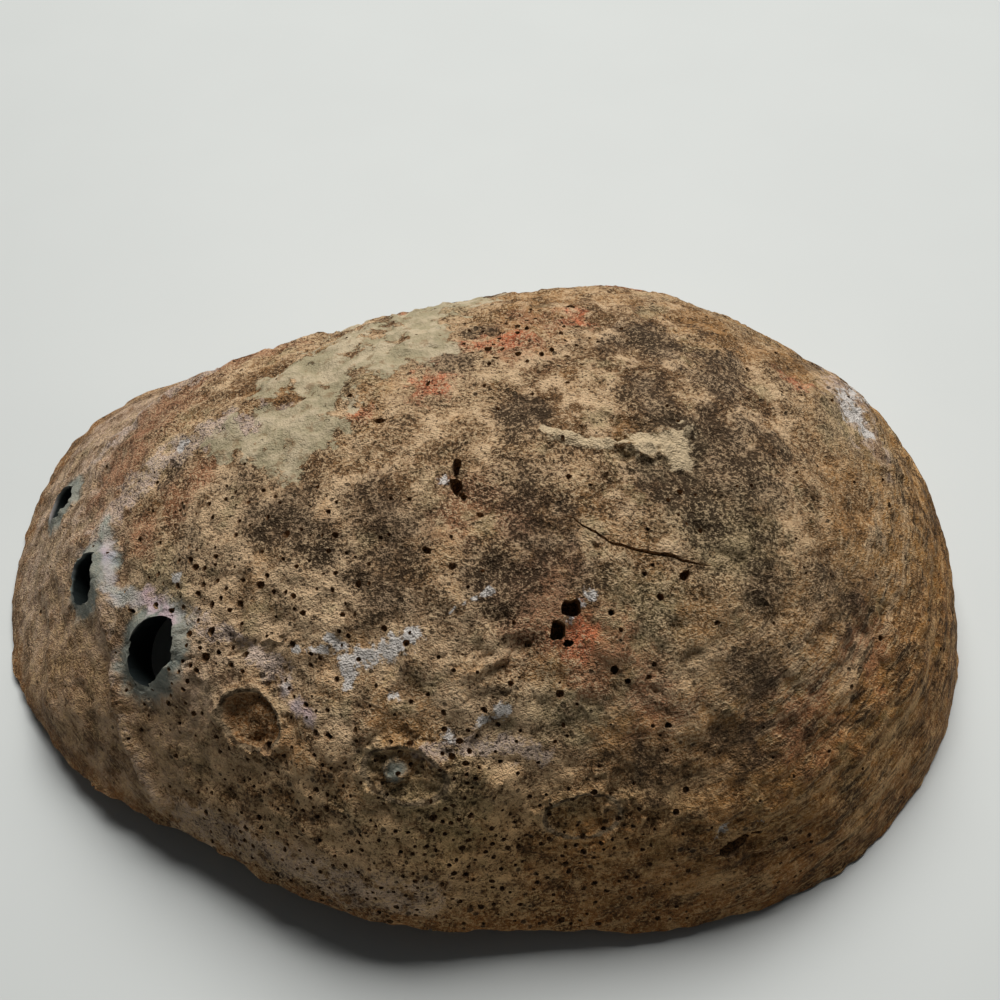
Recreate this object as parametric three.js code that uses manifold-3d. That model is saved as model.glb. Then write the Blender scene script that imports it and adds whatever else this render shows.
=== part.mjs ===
// Shell of an old red abalone, one piece of shell grown as a shallow ear-shaped bowl.
// Millimetres, +Z up. The shell stands on its rim with the domed outside up.
// Directions round the rim are counted from +X, the spire end, anticlockwise seen from above:
// 90 degrees is the outer lip, 180 the growing front end, 270 the side with the row of holes.

import * as THREE from 'three';
import { mergeVertices } from 'three/addons/utils/BufferGeometryUtils.js';
import Module from 'manifold-3d';

// Driving dimensions

const HEIGHT = 58;            // crown above the table
const FLANK = 0.5;            // share of the height over which a flank keeps its lean
const CROWN_REACH = 0.57;     // how far the flat top reaches out, as a share of the rim radius
const WALL = 5.5;             // thickness of the old shell
const CROWN_WALL = 7;         // thickness under the crown
const LIP_RISE = 0.6;         // how far the outer corner of the rim stands above its underside
const SHELF_RISE = 1.6;       // how far the inner corner of the rim stands above its underside

// Sixteen stations round the rim, 22.5 degrees apart: distance from the crown's axis, height of
// the rim's underside, lean of the flank inwards from upright, and breadth of the rim.
const RIM_RADIUS = [85, 87, 84, 82, 79, 82, 94, 108, 106, 95, 81, 76, 71, 74, 79, 83];
const RIM_LIFT = [0.6, 0.8, -0.8, -0.9, 0.2, 1, 3, 4, -1, 4, 8, 8, 4, 1.5, -0.8, -0.7];
const LEAN = [12, 15, 20, 25, 33, 44, 56, 54, 39, 28, 19, 13, 11, 12, 12, 11];
const RIM_BREADTH = [6, 5, 4.5, 4.5, 5, 5.5, 6.5, 7, 7.5, 9, 11, 13, 13, 12, 10, 8];

// The row of breathing holes follows the growth spiral: three open ones near the front end.
// Each has its place in plan from the crown, the radii of its mouth along and across the row,
// and the height of the turret round it.
const OPEN_HOLES = [
  { at: [-98, 16], along: 4.4, across: 3.4, turret: 1.2 },
  { at: [-82, -12], along: 5.2, across: 4.2, turret: 1.6 },
  { at: [-66, -33], along: 5.8, across: 5.2, turret: 1.8 },
];
const SEALED_HOLES = [[-44, -48], [-22, -58], [7, -61], [29, -61]];
const WORN_ROW = [[54, -52], [70, -30], [75, -6]];   // older holes, worn away towards the spire
const SPIRE = [60, 20];
const SUTURE = [[66, 40], [48, 34], [40, 20], [46, 4], [60, -2]];   // groove that curls round it

const TURRET_RADIUS = 7;      // foot of the raised ring round a hole
const HOLE_TAPER = 0.85;      // a hole is narrower inside the shell than at its mouth
const HOLE_SIDES = 16;
const PLUG_LENGTH = 16;       // long enough to pass through the wall at a slant
const KEEL_HEIGHT = 1.1;      // low ridge that carries the row of holes
const KEEL_WIDTH = 6;
const SPIRE_HEIGHT = 2.6;     // worn knob of the first whorls
const SPIRE_RADIUS = 13;
const SUTURE_DEPTH = 1.4;     // groove between the spire and the last whorl
const SUTURE_WIDTH = 5;
const FADE_NEAR_RIM = 0.12;   // relief dies out over this share of the dome's curve

const COLUMNS = 96;           // facets round the shell
const OUTER_ROWS = 24;        // facets from crown to rim, outside
const INNER_ROWS = 14;        // facets from rim to crown, inside
const UNDERSIDE = [0.14, 0.5, 0.86];   // rows under the rim, as shares of the way in
const TRACE_STEPS = 80;       // pieces that a curve of the relief is measured in
const SLOPE_STEP = 0.004;     // step over which the dome's slope is taken
const HALVINGS = 40;
const POLE = 1e-9;            // squared reach below which a place counts as the crown itself

// Smooth value between stations placed evenly round the rim.
function around(stations, angle) {
  const count = stations.length;
  const place = ((angle / (2 * Math.PI)) * count + count) % count;
  const first = Math.floor(place);
  const [a, b, c, d] = [-1, 0, 1, 2].map((step) => stations[(first + step + count) % count]);
  const f = place - first;
  return b + 0.5 * f * (c - a + f * (2 * a - 5 * b + 4 * c - d + f * (3 * (b - c) + d - a)));
}

// Point on a cubic curve with four control points given as [distance from axis, height].
function cubic(points, t) {
  const s = 1 - t;
  const weights = [s * s * s, 3 * s * s * t, 3 * s * t * t, t * t * t];
  return [0, 1].map((axis) => points.reduce((sum, p, i) => sum + weights[i] * p[axis], 0));
}

function onAxis(angle, [radius, height]) {
  return new THREE.Vector3(radius * Math.cos(angle), radius * Math.sin(angle), height);
}

// Height of the rim's underside. Stations below the table are where the rim is worn flat on it.
function rimHeight(angle) {
  return Math.max(0, around(RIM_LIFT, angle));
}

// The four control points of the outside's section in one direction, rim first, crown last.
function outerSection(angle) {
  const radius = around(RIM_RADIUS, angle);
  const foot = rimHeight(angle) + LIP_RISE;
  const flank = FLANK * (HEIGHT - foot);
  const slope = Math.tan(THREE.MathUtils.degToRad(around(LEAN, angle)));
  return [
    [radius, foot],
    [radius - flank * slope, foot + flank],
    [CROWN_REACH * radius, HEIGHT],
    [0, HEIGHT],
  ];
}

// The inside follows the outside at the wall's thickness, and starts from the rim's inner corner.
function innerSection(angle) {
  const [rim, flank, shoulder] = outerSection(angle);
  const lean = THREE.MathUtils.degToRad(around(LEAN, angle));
  return [
    [rim[0] - around(RIM_BREADTH, angle), rimHeight(angle) + SHELF_RISE],
    [flank[0] - WALL / Math.cos(lean), flank[1]],
    [shoulder[0] - WALL, HEIGHT - CROWN_WALL],
    [0, HEIGHT - CROWN_WALL],
  ];
}

function dome(angle, t) {
  return onAxis(angle, cubic(outerSection(angle), t));
}

// Outward direction of the smooth dome.
function domeNormal(angle, t) {
  const across = dome(angle + SLOPE_STEP, t).sub(dome(angle - SLOPE_STEP, t));
  const above = Math.min(1, t + SLOPE_STEP);
  const below = Math.max(0, t - SLOPE_STEP);
  const up = dome(angle, above).sub(dome(angle, below));
  return across.lengthSq() < POLE ? new THREE.Vector3(0, 0, 1) : across.cross(up).normalize();
}

// Smooth curve in plan through places given from the crown.
function trace(places) {
  const points = places.map(([x, y]) => new THREE.Vector3(x, y, 0));
  return new THREE.CatmullRomCurve3(points).getSpacedPoints(TRACE_STEPS);
}

// The hole row in plan, from the front end back round the near side towards the spire.
const holeRow = trace([...OPEN_HOLES.map((hole) => hole.at), ...SEALED_HOLES, ...WORN_ROW]);
const suture = trace(SUTURE);

function bell(distance, width) {
  return Math.exp(-((distance / width) ** 2));
}

function nearest(points, plan) {
  return Math.sqrt(Math.min(...points.map((point) => point.distanceToSquared(plan))));
}

// Height of the coarse relief over the smooth dome.
function relief(point, t) {
  const plan = new THREE.Vector3(point.x, point.y, 0);
  const gap = ([x, y]) => Math.hypot(plan.x - x, plan.y - y);
  const turrets = OPEN_HOLES.map((hole) => hole.turret * bell(gap(hole.at), TURRET_RADIUS));
  const height = Math.max(...turrets, KEEL_HEIGHT * bell(nearest(holeRow, plan), KEEL_WIDTH))
    + SPIRE_HEIGHT * bell(gap(SPIRE), SPIRE_RADIUS)
    - SUTURE_DEPTH * bell(nearest(suture, plan), SUTURE_WIDTH);
  return height * THREE.MathUtils.smoothstep(t, 0, FADE_NEAR_RIM);
}

function outerPoint(angle, t) {
  const point = dome(angle, t);
  return point.addScaledVector(domeNormal(angle, t), relief(point, t));
}

// Underside of the rim, at a share of the way in from its outer corner.
function rimPoint(angle, share) {
  const radius = around(RIM_RADIUS, angle) - share * around(RIM_BREADTH, angle);
  return onAxis(angle, [radius, rimHeight(angle)]);
}

function innerPoint(angle, t) {
  return onAxis(angle, cubic(innerSection(angle), t));
}

// One direction's profile, from the first row below the crown round the rim and back inside.
function profile(angle) {
  const steps = (rows) => Array.from({ length: rows }, (_, i) => i / rows);
  const outer = steps(OUTER_ROWS).map((t) => outerPoint(angle, t)).reverse();
  const rim = UNDERSIDE.map((share) => rimPoint(angle, share));
  const inner = steps(INNER_ROWS).map((t) => innerPoint(angle, t));
  return [...outer, ...rim, ...inner];
}

// Closed skin made of profiles that all start and end on the crown's axis.
function skin() {
  const profiles = Array.from({ length: COLUMNS }, (_, i) => profile((2 * Math.PI * i) / COLUMNS));
  const rows = profiles[0].length;
  const points = [outerPoint(0, 1), ...profiles.flat(), innerPoint(0, 1)];
  const last = points.length - 1;
  const at = (column, row) => 1 + (column % COLUMNS) * rows + row;
  const faces = [];
  for (let c = 0; c < COLUMNS; c += 1) {
    faces.push(0, at(c, 0), at(c + 1, 0));
    faces.push(last, at(c + 1, rows - 1), at(c, rows - 1));
    for (let r = 0; r < rows - 1; r += 1) {
      faces.push(at(c, r), at(c, r + 1), at(c + 1, r + 1));
      faces.push(at(c, r), at(c + 1, r + 1), at(c + 1, r));
    }
  }
  return { points: points.flatMap((point) => point.toArray()), faces };
}

// Direction and share of the dome's curve at a place given in plan, found by halving.
function locate([x, y]) {
  const angle = Math.atan2(y, x);
  const reach = Math.hypot(x, y);
  let low = 0;
  let high = 1;
  for (let halving = 0; halving < HALVINGS; halving += 1) {
    const t = (low + high) / 2;
    if (cubic(outerSection(angle), t)[0] > reach) {
      low = t;
    } else {
      high = t;
    }
  }
  return { angle, t: (low + high) / 2 };
}

// Tapered plug that cuts one breathing hole square to the shell.
function holePlug({ at, along, across }) {
  const { angle, t } = locate(at);
  const plug = new THREE.CylinderGeometry(1, HOLE_TAPER, PLUG_LENGTH, HOLE_SIDES);
  plug.scale(along, 1, across);
  const out = domeNormal(angle, t);
  const row = new THREE.Vector3(Math.sin(angle), -Math.cos(angle), 0);
  row.addScaledVector(out, -row.dot(out)).normalize();
  const turn = new THREE.Matrix4().makeBasis(row, out, row.clone().cross(out));
  plug.applyMatrix4(turn.setPosition(dome(angle, t)));
  return plug;
}

const library = await Module();
library.setup();

function solid(positions, indices) {
  const mesh = new library.Mesh({
    numProp: 3,
    vertProperties: Float32Array.from(positions),
    triVerts: Uint32Array.from(indices),
  });
  return new library.Manifold(mesh);
}

function plugSolid(geometry) {
  geometry.deleteAttribute('normal');
  geometry.deleteAttribute('uv');
  const merged = mergeVertices(geometry);
  return solid(merged.attributes.position.array, merged.index.array);
}

function shellGeometry() {
  const { points, faces } = skin();
  const body = OPEN_HOLES.reduce(
    (shell, hole) => shell.subtract(plugSolid(holePlug(hole))),
    solid(points, faces),
  );
  const { vertProperties, triVerts } = body.getMesh();
  const geometry = new THREE.BufferGeometry();
  geometry.setAttribute('position', new THREE.BufferAttribute(vertProperties, 3));
  geometry.setIndex(new THREE.BufferAttribute(triVerts, 1));
  geometry.computeBoundingBox();
  const middle = geometry.boundingBox.getCenter(new THREE.Vector3());
  geometry.translate(-middle.x, -middle.y, -geometry.boundingBox.min.z);
  geometry.computeVertexNormals();
  return geometry;
}

const chalkyShell = new THREE.MeshStandardMaterial({ color: 0x7d6a54, roughness: 0.9, metalness: 0 });

const shell = new THREE.Mesh(shellGeometry(), chalkyShell);
shell.name = 'shell';

const abalone = new THREE.Group();
abalone.add(shell);

export default abalone;
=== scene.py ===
"""Old red abalone shell lying dome up on a pale table: its looks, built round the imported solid.

Lengths in this file are millimetres unless a name says otherwise, and meshes are written in metres.
A place on the shell is a direction in degrees, anticlockwise from the spire end at +X, and a share
of the way up the dome's curve, 0 at the rim and 1 at the crown.
"""

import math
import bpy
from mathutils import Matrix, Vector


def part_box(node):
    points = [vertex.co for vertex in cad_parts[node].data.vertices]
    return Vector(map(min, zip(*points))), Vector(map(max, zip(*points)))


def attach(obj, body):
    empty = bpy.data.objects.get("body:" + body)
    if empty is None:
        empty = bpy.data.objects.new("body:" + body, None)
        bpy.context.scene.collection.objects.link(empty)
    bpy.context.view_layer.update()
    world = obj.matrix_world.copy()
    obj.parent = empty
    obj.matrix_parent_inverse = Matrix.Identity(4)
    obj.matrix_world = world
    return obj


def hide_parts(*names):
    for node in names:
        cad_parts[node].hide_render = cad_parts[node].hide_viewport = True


bl_info = {
    "name": "Abalone Shell",
    "version": (1, 0, 0),
    "blender": (4, 5, 0),
    "location": "3D View > Sidebar > Shell",
    "description": "Builds an old abalone shell with its pitted outside and nacre inside",
    "category": "Add Mesh",
}

import bmesh
import bpy
import numpy as np
from bpy.props import FloatProperty, FloatVectorProperty, IntProperty, PointerProperty
from mathutils import Matrix, Vector, noise
from mathutils.kdtree import KDTree

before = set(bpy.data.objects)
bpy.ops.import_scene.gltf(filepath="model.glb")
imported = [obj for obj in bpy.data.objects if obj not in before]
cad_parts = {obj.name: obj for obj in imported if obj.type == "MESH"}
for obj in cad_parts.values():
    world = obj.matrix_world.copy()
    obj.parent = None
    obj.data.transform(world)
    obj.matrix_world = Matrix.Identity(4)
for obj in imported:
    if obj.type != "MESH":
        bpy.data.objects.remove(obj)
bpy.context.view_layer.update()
LOW, HIGH = (np.array(corner) * 1000 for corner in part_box("shell"))

METRES = 0.001
FULL_TURN = 2 * math.pi

# ---------------------------------------------------------------------------------------------
# The smooth bowl

HEIGHT = HIGH[2] - LOW[2]
FLANK = 0.5            # share of the height over which a flank keeps its lean
CROWN_REACH = 0.57     # how far the flat top reaches out, as a share of the rim radius
LIP_RISE = 0.6         # outer corner of the rim above its underside
SHELF_RISE = 1.6       # inner corner of the rim above its underside

# Sixteen stations round the rim: distance from the crown's axis, height of the rim's underside,
# lean of the flank inwards from upright, and breadth of the rim.
RIM_RADIUS = np.array([85, 87, 84, 82, 79, 82, 94, 108, 106, 95, 81, 76, 71, 74, 79, 83], float)
RIM_LIFT = np.array([0.6, 0.8, -0.8, -0.9, 0.2, 1, 3, 4, -1, 4, 8, 8, 4, 1.5, -0.8, -0.7])
LEAN = np.array([12, 15, 20, 25, 33, 44, 56, 54, 39, 28, 19, 13, 11, 12, 12, 11], float)
RIM_BREADTH = np.array([6, 5, 4.5, 4.5, 5, 5.5, 6.5, 7, 7.5, 9, 11, 13, 13, 12, 10, 8])


def smooth_between(a, b, c, d, f):
    """Value at a share f of the way from b to c, on a smooth curve through all four."""
    return b + 0.5 * f * (c - a + f * (2 * a - 5 * b + 4 * c - d + f * (3 * (b - c) + d - a)))


def around(stations, angle):
    """Smooth value between stations placed evenly round the rim."""
    count = len(stations)
    place = np.mod(angle / FULL_TURN * count, count)
    first = np.floor(place).astype(int)
    a, b, c, d = (stations[(first + step) % count] for step in (-1, 0, 1, 2))
    return smooth_between(a, b, c, d, place - first)


def rim_height(angle):
    return np.maximum(0, around(RIM_LIFT, angle))


def cubic(section, share):
    """Radius and height on a cubic curve whose four control points are (radius, height) pairs."""
    rest = 1 - share
    weights = (rest ** 3, 3 * rest ** 2 * share, 3 * rest * share ** 2, share ** 3)
    return [sum(w * point[axis] for w, point in zip(weights, section)) for axis in (0, 1)]


def outer_section(angle):
    radius = around(RIM_RADIUS, angle)
    foot = rim_height(angle) + LIP_RISE
    flank = FLANK * (HEIGHT - foot)
    slope = np.tan(np.radians(around(LEAN, angle)))
    return [(radius, foot), (radius - flank * slope, foot + flank),
            (CROWN_REACH * radius, HEIGHT), (0, HEIGHT)]


def inner_section(angle, wall, crown_wall):
    rim, flank, shoulder, _ = outer_section(angle)
    lean = np.radians(around(LEAN, angle))
    return [(rim[0] - around(RIM_BREADTH, angle), rim_height(angle) + SHELF_RISE),
            (flank[0] - wall / np.cos(lean), flank[1]),
            (shoulder[0] - wall, HEIGHT - crown_wall), (0, HEIGHT - crown_wall)]


def on_axis(angle, radius, height):
    return np.stack([radius * np.cos(angle), radius * np.sin(angle), height + 0 * radius], axis=-1)


def dome(angle, share):
    return on_axis(angle, *cubic(outer_section(angle), share))


def dome_normal(angle, share):
    """Outward direction of the smooth dome."""
    step = 0.004
    across = dome(angle + step, share) - dome(angle - step, share)
    up = dome(angle, np.minimum(1, share + step)) - dome(angle, np.maximum(0, share - step))
    out = np.cross(across, up)
    length = np.linalg.norm(out, axis=-1, keepdims=True)
    crown = length < 1e-6
    return np.where(crown, [0, 0, 1], out / np.where(crown, 1, length))


def on_dome(places):
    """Points on the dome for rows that begin with a direction in degrees and a share."""
    rows = np.array([row[:2] for row in places], float)
    return dome(np.radians(rows[:, 0]), rows[:, 1])


def distance_from(place, points):
    """Distance of points from a place on the dome."""
    return np.linalg.norm(points - on_dome([place])[0], axis=-1)


def share_of(points):
    """Direction and share of points that lie on the dome, found by halving."""
    angle = np.arctan2(points[:, 1], points[:, 0])
    reach = np.hypot(points[:, 0], points[:, 1])
    section = outer_section(angle)
    steep = points[:, 2] < HEIGHT / 2
    low, high = np.zeros(len(points)), np.ones(len(points))
    for _ in range(30):
        middle = (low + high) / 2
        radius, height = cubic(section, middle)
        below = np.where(steep, height < points[:, 2], radius > reach)
        low, high = np.where(below, middle, low), np.where(below, high, middle)
    return angle, (low + high) / 2


# The crown's axis stands where the outline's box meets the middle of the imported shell's box.
OUTLINE = dome(np.linspace(0, FULL_TURN, 720), np.zeros(720))[:, :2]
CROWN = np.append((LOW + HIGH)[:2] / 2 - (OUTLINE.min(0) + OUTLINE.max(0)) / 2, LOW[2])

# ---------------------------------------------------------------------------------------------
# Places of the marks that years in the sea left on the shell

# Open breathing holes: place, radii along and across the row, turret height.
OPEN_HOLES = [(173, 0.17, 3.8, 3.2, 1.0), (191, 0.31, 4.1, 4.1, 1.2), (208, 0.35, 4.3, 5.2, 1.3)]
# Sealed holes: place, radii along and across the row, depth of the dish inside the ring.
SEALED_HOLES = [(226, 0.335, 5.6, 4.4, 1.2), (250, 0.355, 6.6, 4.2, 0.6), (276, 0.29, 6.0, 3.8, 0.35)]
HOLE_ROW = [(173, 0.17), (191, 0.31), (208, 0.35), (227, 0.335), (249, 0.35), (276, 0.29),
            (295, 0.26), (318, 0.27), (340, 0.30), (2, 0.36)]
STUD = (248.5, 0.36)
SPIRE = (18, 0.43)
SUTURE = [(32, 0.32), (38, 0.50), (24, 0.66), (4, 0.66), (352, 0.50)]

# Folds of old growth edges: path, height, width.
FOLDS = [
    ([(190, 0.36), (196, 0.33), (203, 0.29), (208, 0.22), (214, 0.13), (219, 0.05)], 1.5, 1.6),
    ([(171, 0.26), (171, 0.42), (175, 0.60), (167, 0.66), (152, 0.68), (140, 0.66)], 0.8, 3.2),
    ([(165, 0.22), (160, 0.36), (150, 0.44), (138, 0.42)], 0.9, 2.6),
]
# Patches eaten away to a rough floor: place, reach.
ERODED = [(299, 0.19, 6), (95, 0.87, 9), (231, 0.83, 6), (262, 0.56, 7), (285, 0.28, 6), (130, 0.30, 10)]
# Broad swellings and hollows: place, height, width.
LUMPS = [((150, 0.60), -1.8, 16), ((200, 0.08), 1.8, 10), ((24, 0.58), -1.2, 9), ((104, 0.62), -0.8, 16)]
CREST = [(276, 0.93), (304, 0.91), (319, 0.88), (326, 0.86)]
FLAKE = [(324, 0.865, 1.6), (331, 0.85, 2.8), (338, 0.82, 3.0), (348, 0.81, 1.6), (333, 0.80, 2.2)]
CRACK = [(279, 0.79), (284, 0.775), (292, 0.738), (299, 0.715), (306, 0.69),
         (312, 0.66), (318, 0.64), (322, 0.625)]


def run(places, step=1.0):
    """Evenly spaced points along a smooth path on the dome."""
    knots = on_dome(places)
    ends = [2 * knots[0] - knots[1], *knots, 2 * knots[-1] - knots[-2]]
    points = []
    for a, b, c, d in zip(ends, ends[1:], ends[2:], ends[3:]):
        count = max(2, int(np.linalg.norm(c - b) / step))
        points += [smooth_between(a, b, c, d, f) for f in np.arange(count) / count]
    return np.array(points + [knots[-1]])


def nearest(points, targets):
    """Distance of each point from the nearest target."""
    tree = KDTree(len(targets))
    for index, target in enumerate(targets):
        tree.insert(target, index)
    tree.balance()
    return np.array([tree.find(point)[2] for point in points])


def bell(distance, width):
    return np.exp(-(distance / width) ** 2)


def ramp(value, low, high):
    """Smooth step from 0 at low to 1 at high."""
    f = np.clip((value - low) / (high - low), 0, 1)
    return f * f * (3 - 2 * f)


def field(points, size, octaves=3, shift=0.0):
    """Smooth noise between about -1 and 1, with lumps of the given size."""
    scaled = points / size + shift
    return np.array([noise.fractal(point, 1.0, 2.0, octaves) for point in scaled.tolist()])


GROWTH_TURN = 18   # radius that a growth line is drawn round at, so lumps on it come out long


def growth_space(angle, points):
    """Space in which lumps come out drawn along the growth lines."""
    drop = HEIGHT - points[:, 2]
    reach = np.hypot(points[:, 0], points[:, 1])
    return np.stack([GROWTH_TURN * np.cos(angle), GROWTH_TURN * np.sin(angle), reach + drop], axis=-1)


def row_frame(place):
    """Axes of a hole: along the row, across it, and straight out."""
    angle, share = np.radians(place[0:1]), np.array(place[1:2])
    out = dome_normal(angle, share)[0]
    along = np.array([math.sin(angle[0]), -math.cos(angle[0]), 0.0])
    along -= out * along.dot(out)
    along /= np.linalg.norm(along)
    return along, np.cross(out, along), out


def hole_distance(points, hole):
    """Distance from a hole's middle, measured so that its edge lies at 1."""
    along, across, _ = row_frame(hole)
    offset = points - on_dome([hole])[0]
    return np.hypot(offset @ along / hole[2], offset @ across / hole[3])


def flake_shape(points):
    """The thin tail and the pale raised flake itself: 1 inside, 0 well outside."""
    tail = 1 - 0.5 * nearest(points, run(CREST, 0.5)) / 1.1
    patch = [1 - 0.5 * distance_from(blot, points) / blot[2] for blot in FLAKE]
    return np.clip(tail, 0, 1), np.clip(np.max(patch, axis=0), 0, 1)


def relief(angle, share, points):
    """Height of the worn outside above the smooth dome."""
    flank = ramp(share, 0.75, 0.35)
    smoother = 1 - 0.55 * ramp(np.cos(angle), 0.3, 0.8) * flank
    height = 0.8 * field(points, 36, 2) + 0.6 * field(points, 11, 3, 7.3)
    height += 0.42 * field(points, 3.4, 3, 3.1) * smoother
    height += 0.34 * field(growth_space(angle, points), 3.2, 3, 5.7) * flank * smoother
    height -= 0.45 * ramp(field(points, 7.5, 5, 11.9), 0.10, 0.18) * ramp(share, 0.1, 0.3)
    height -= 0.35 * ramp(field(points, 3.2, 4, 21.3), 0.14, 0.26) * ramp(share, 0.05, 0.2)
    eaten = np.max([bell(distance_from(patch, points), patch[2]) for patch in ERODED], axis=0)
    height -= 0.9 * eaten * ramp(field(points, 3.0, 3, 33.0), -0.05, 0.14)
    height += 1.0 * bell(nearest(points, run(HOLE_ROW)), 6)
    for hole in OPEN_HOLES:
        rim = hole_distance(points, hole)
        height += hole[4] * bell(rim - 1.0, 0.45) * (rim > 0.4)
    for hole in SEALED_HOLES:
        rim = hole_distance(points, hole)
        height += 0.6 * hole[4] * bell(rim - 1.1, 0.18) - hole[4] * ramp(rim, 1.0, 0.8)
        height += 0.5 * field(points, 2.2, 2, 9.4) * (rim < 1.3)
    stud = distance_from(STUD, points)
    height += 0.9 * ramp(stud, 2.2, 1.5) - 0.4 * bell(stud - 2.7, 0.5)
    spire = distance_from(SPIRE, points)
    height += 1.4 * bell(spire, 12) + 0.5 * bell(spire, 4.5)
    height -= 1.3 * bell(nearest(points, run(SUTURE)), 4)
    for place, rise, width in LUMPS:
        height += rise * bell(distance_from(place, points), width)
    for path, rise, width in FOLDS:
        height += rise * bell(nearest(points, run(path)), width)
    tail, flake = flake_shape(points)
    broken = 0.16 * field(points, 1.8, 3, 1.7)
    height += 0.5 * ramp(tail + broken, 0.4, 0.7)
    height += 0.9 * ramp(flake + broken, 0.42, 0.56) + 0.5 * ramp(flake + broken, 0.6, 0.95)
    return height * ramp(share, -0.02, 0.1)


# ---------------------------------------------------------------------------------------------
# Mesh of the shell

def disc(cells):
    """Square net of cells pressed into a round one: direction, reach and the corners' order."""
    line = np.linspace(-1, 1, cells + 1)
    u, v = np.meshgrid(line, line, indexing="ij")
    wide = np.abs(u) > np.abs(v)
    reach = np.where(wide, u, v)
    other = np.where(wide, v, u)
    turn = np.divide(other, reach, out=np.zeros_like(reach), where=reach != 0) * math.pi / 4
    angle = np.where(wide, turn, math.pi / 2 - turn) + math.pi * (reach < 0)
    corner = np.arange((cells + 1) ** 2).reshape(cells + 1, cells + 1)
    quads = np.stack([corner[:-1, :-1], corner[1:, :-1], corner[1:, 1:], corner[:-1, 1:]], axis=-1)
    edge = np.unique(np.concatenate([corner[0], corner[-1], corner[:, 0], corner[:, -1]]))
    edge = edge[np.argsort(np.mod(angle.ravel()[edge], FULL_TURN))]
    return angle.ravel(), np.abs(reach).ravel(), quads.reshape(-1, 4), edge


def smooth_outside(cells):
    angle, reach, quads, edge = disc(cells)
    return dome(angle, 1 - reach), quads, edge


def refine(points, quads, near):
    """Splits the faces within a few millimetres of some places, so that small marks come out."""
    mesh = new_mesh("outside", points, quads)
    net = bmesh.new()
    net.from_mesh(mesh)
    bpy.data.meshes.remove(mesh)
    net.verts.ensure_lookup_table()
    close = nearest(points, near[:, :3])
    picked = [edge for edge in net.edges
              if not edge.is_boundary and max(close[v.index] for v in edge.verts) < REFINED]
    bmesh.ops.subdivide_edges(net, edges=picked, cuts=1, use_grid_fill=True)
    bmesh.ops.triangulate(net, faces=net.faces[:])
    net.verts.index_update()
    fine = np.array([v.co for v in net.verts])
    faces = [[v.index for v in face.verts] for face in net.faces]
    net.free()
    return fine, faces


OUTSIDE, NACRE, BORING, HOLE_WALL = range(4)   # material slots of the shell
REFINED = 8.0                                    # reach of the finer net round a mark
RIM_ROWS = (0.06, 0.16, 0.36, 0.6, 0.84, 0.95)   # rows under the rim, as shares of the way in
RIM_DROP = (0.6, 1.0, 1.0, 1.0, 1.0, 0.6)        # how far each has come down to the underside


def scar_reach(points):
    """Distance from the middle of the muscle's scar, 1 at its wavering edge."""
    oval = np.hypot((points[:, 0] - 6) / 25, (points[:, 1] + 2) / 19)
    return oval + 0.12 * field(points, 14, 2, 4.4)


def inside(cells, wall, crown_wall):
    """Nacre side: the bowl, with the muscle's scar and blisters behind the sealed holes."""
    angle, reach, quads, edge = disc(cells)
    points = on_axis(angle, *cubic(inner_section(angle, wall, crown_wall), 1 - reach))
    height = 0.5 * field(points, 26, 2, 21.0)
    scar = scar_reach(points)
    height += 0.5 * bell(scar - 1, 0.1) - 0.35 * ramp(scar, 1.0, 0.85)
    for hole in SEALED_HOLES:
        height += 1.6 * bell(distance_from(hole, points) - 5, 4)
    height *= ramp(reach, 1.0, 0.9)
    out = dome_normal(angle, 1 - reach)
    return points - out * height[:, None], quads, edge


def rim_strips(outer, inner, angle):
    """Rows of points that carry the outer edge round under the rim to the inner one."""
    foot = rim_height(angle)
    rows = []
    for share, drop in zip(RIM_ROWS, RIM_DROP):
        row = outer + (inner - outer) * share
        worn = 0.35 * field(row, 5.0, 3, 9.1) + 0.25
        low = np.maximum(0, foot + worn * ramp(foot, 0, 0.8))
        row[:, 2] += (low - row[:, 2]) * drop
        rows.append(row)
    return rows


def grid_faces(upper, lower):
    """Quads between two rings of the same number of points."""
    return list(zip(upper, lower, np.roll(lower, -1), np.roll(upper, -1)))


def halving_faces(fine, coarse):
    """Triangles between a ring and one with half as many points."""
    faces, count = [], len(coarse)
    for i in range(count):
        a, b, c = fine[2 * i], fine[2 * i + 1], fine[(2 * i + 2) % len(fine)]
        d, e = coarse[i], coarse[(i + 1) % count]
        faces += [(a, d, b), (b, d, e), (b, e, c)]
    return faces


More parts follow.
